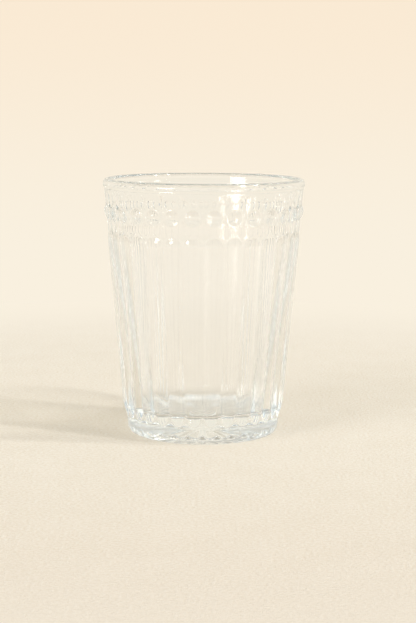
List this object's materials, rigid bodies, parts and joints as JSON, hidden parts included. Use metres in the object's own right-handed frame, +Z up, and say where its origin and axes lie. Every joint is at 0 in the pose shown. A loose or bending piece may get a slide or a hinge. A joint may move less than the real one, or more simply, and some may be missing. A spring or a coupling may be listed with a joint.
{
  "type": "tumbler",
  "caption": "Clear pressed-glass tumbler: tapered wall of round-ended reeds, a band of beads on arched panels, plain rounded rim, thick foot with a petalled underside.",
  "frame": {"origin": "centre of the bearing ring under the foot, on the surface that the glass stands on", "axes": "+Z up along the axis of the glass; +X through the crest of one reed and its bead"},
  "size_m": [0.0798, 0.0798, 0.101],
  "materials": {
    "clear_glass": "fire-polished, clear"
  },
  "bodies": {
    "root": {"foot": "clear_glass", "reeded_wall": "clear_glass", "bead_band": "clear_glass", "rim": "clear_glass"}
  },
  "joints": []
}
